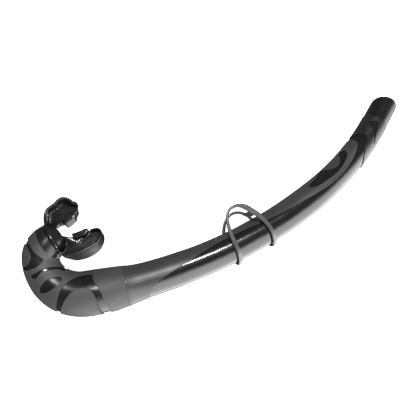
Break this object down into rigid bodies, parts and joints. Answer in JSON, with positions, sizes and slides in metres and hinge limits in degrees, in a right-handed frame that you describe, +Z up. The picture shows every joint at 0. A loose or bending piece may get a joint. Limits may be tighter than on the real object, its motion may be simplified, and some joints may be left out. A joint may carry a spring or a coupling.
{
  "type": "snorkel tube",
  "caption": "J-shaped snorkel: flexible bend with a moulded mouthpiece, coupled to a curved barrel that carries a sliding strap keeper and ends in a slanted open tip.",
  "frame": {"origin": "centre of the bounding box in plan, on the surface that the snorkel lies on", "axes": "+Z up as the snorkel lies flat on its side; +X along its length from the bend to the tip; +Y towards the inside of the J, where the mouthpiece stands"},
  "size_m": [0.3714, 0.1288, 0.037],
  "materials": {
    "mouthpiece": "gloss moulded silicone with a stippled bite",
    "elbow_core": "smooth semi-gloss",
    "elbow_overmould": "fine matte",
    "elbow_side_panel": "fine matte",
    "elbow_back_pad": "fine matte",
    "coupling_sleeve": "smooth",
    "barrel_core": "polished",
    "barrel_overmould": "satin",
    "tip_overmould": "satin",
    "keeper": "satin silicone"
  },
  "bodies": {
    "barrel": {"barrel_core": "barrel_core", "barrel_overmould": "barrel_overmould", "tip_overmould": "tip_overmould", "coupling_sleeve": "coupling_sleeve"},
    "bend": {"elbow_core": "elbow_core", "elbow_overmould": "elbow_overmould", "elbow_side_panel": "elbow_side_panel", "elbow_back_pad": "elbow_back_pad"},
    "mouthpiece": {"mouthpiece": "mouthpiece"},
    "keeper": {"keeper": "keeper"}
  },
  "joints": [
    {"name": "bend_swivel", "type": "hinge", "parent": "barrel", "child": "bend", "pos_m": [-0.1218, -0.02545, 0.0183], "axis": [0.9536, -0.3009, -0.0088], "continuous": true},
    {"name": "mouthpiece_turn", "type": "hinge", "parent": "bend", "child": "mouthpiece", "pos_m": [-0.15399, 0.03679, 0.01773], "axis": [0.9999, -0.0002, -0.0145], "range_deg": [-17, 43]},
    {"name": "keeper_slide", "type": "hinge", "parent": "barrel", "child": "keeper", "pos_m": [0.0184, 0.3849, 0.00946], "axis": [0.0145, 0.0166, 0.9998], "range_deg": [-3, 6.8]}
  ]
}
